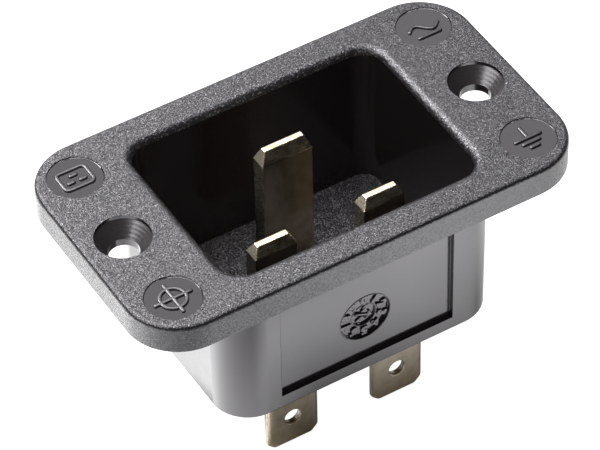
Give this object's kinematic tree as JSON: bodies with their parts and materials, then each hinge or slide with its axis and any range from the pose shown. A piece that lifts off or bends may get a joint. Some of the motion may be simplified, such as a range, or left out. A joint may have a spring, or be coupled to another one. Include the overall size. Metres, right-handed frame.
{
  "type": "iec panel inlet",
  "caption": "Black panel-mounting mains inlet: rectangular screw flange, deep socket cavity with flat bevelled pins, and push-on tabs behind.",
  "frame": {"origin": "centre of the flange's underside, in the plane that seats on the panel, halfway between the two screw holes", "axes": "+Z out of the front of the inlet, X along the line of the screws, line and neutral pins on -Y and the earth pin on +Y"},
  "size_m": [0.0516, 0.0294, 0.0323],
  "materials": {
    "housing_plastic": "black moulding, fine spark-eroded grain on the flange and cavity floor, smooth gloss elsewhere",
    "pin_metal": "nickel-plated brass, bright tips and duller sheared sides",
    "tab_metal": "nickel-plated brass sheet, satin, with bright cut edges"
  },
  "bodies": {
    "root": {"housing": "housing_plastic", "line_pin": "pin_metal", "neutral_pin": "pin_metal", "earth_pin": "pin_metal", "line_terminal": "tab_metal", "neutral_terminal": "tab_metal", "earth_terminal": "tab_metal"}
  },
  "joints": []
}
